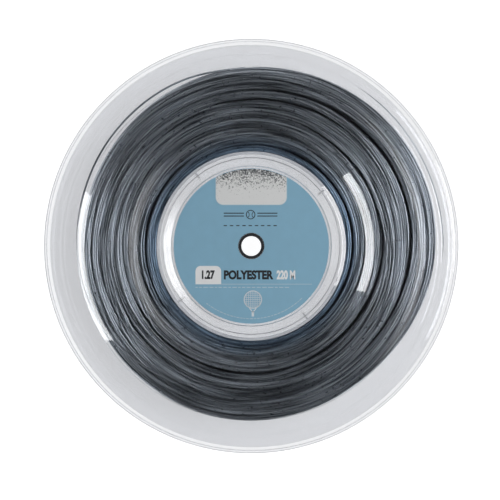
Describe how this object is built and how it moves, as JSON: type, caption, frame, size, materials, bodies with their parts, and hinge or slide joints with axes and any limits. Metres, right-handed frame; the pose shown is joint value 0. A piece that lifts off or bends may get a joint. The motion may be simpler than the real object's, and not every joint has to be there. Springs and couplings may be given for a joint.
{
  "type": "string reel",
  "caption": "Flat clear reel of dark racket string: two stepped round flanges on a drum, with a labelled hub and a black sleeve for a spindle.",
  "frame": {"origin": "on the reel's axis, on the surface that the rear rim rests on", "axes": "+Z along the reel's axis, out of the front label; +Y towards the top of the front label's print"},
  "size_m": [0.26, 0.26, 0.028],
  "materials": {
    "clear_plastic": "clear, polished, with fine handling scratches",
    "black_plastic": "satin",
    "label_print": "printed, semi-matt",
    "silver_foil": "speckled foil",
    "string": "glossy monofilament"
  },
  "bodies": {
    "root": {"front_flange": "clear_plastic", "rear_flange": "clear_plastic", "drum_core": "clear_plastic", "spindle_sleeve": "black_plastic", "front_label": "label_print", "rear_label": "label_print", "foil_panel": "silver_foil", "string_winding": "string", "string_start": "string", "loose_outer_turn": "string"}
  },
  "joints": []
}
